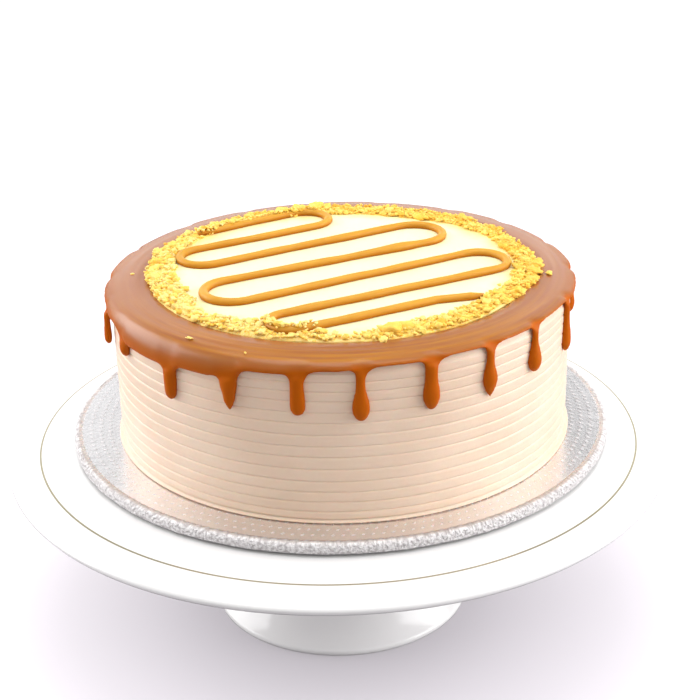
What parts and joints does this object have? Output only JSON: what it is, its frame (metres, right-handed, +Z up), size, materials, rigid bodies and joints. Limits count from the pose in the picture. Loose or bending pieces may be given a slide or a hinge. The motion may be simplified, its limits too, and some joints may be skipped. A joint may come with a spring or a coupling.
{
  "type": "mousse cake on plate",
  "caption": "Round mousse cake with a combed side, caramel drips, piping and crumbs, on a foil board on a footed plate.",
  "frame": {"origin": "centre of the underside of the plate's foot, on the table", "axes": "+Z up along the plate's axis, +X to the right in the front view, and the front looks along +Y"},
  "size_m": [0.3122, 0.3122, 0.1769],
  "materials": {
    "white_porcelain": "gloss",
    "silver_foil": "satin",
    "coffee_cream": "satin",
    "caramel": "gloss",
    "white_cream": "satin",
    "yellow_crumb": "matte"
  },
  "bodies": {
    "root": {"cake_plate": "white_porcelain", "cake_board": "silver_foil", "cake_body": "coffee_cream", "caramel_glaze": "caramel", "cream_top": "white_cream"}
  },
  "joints": []
}
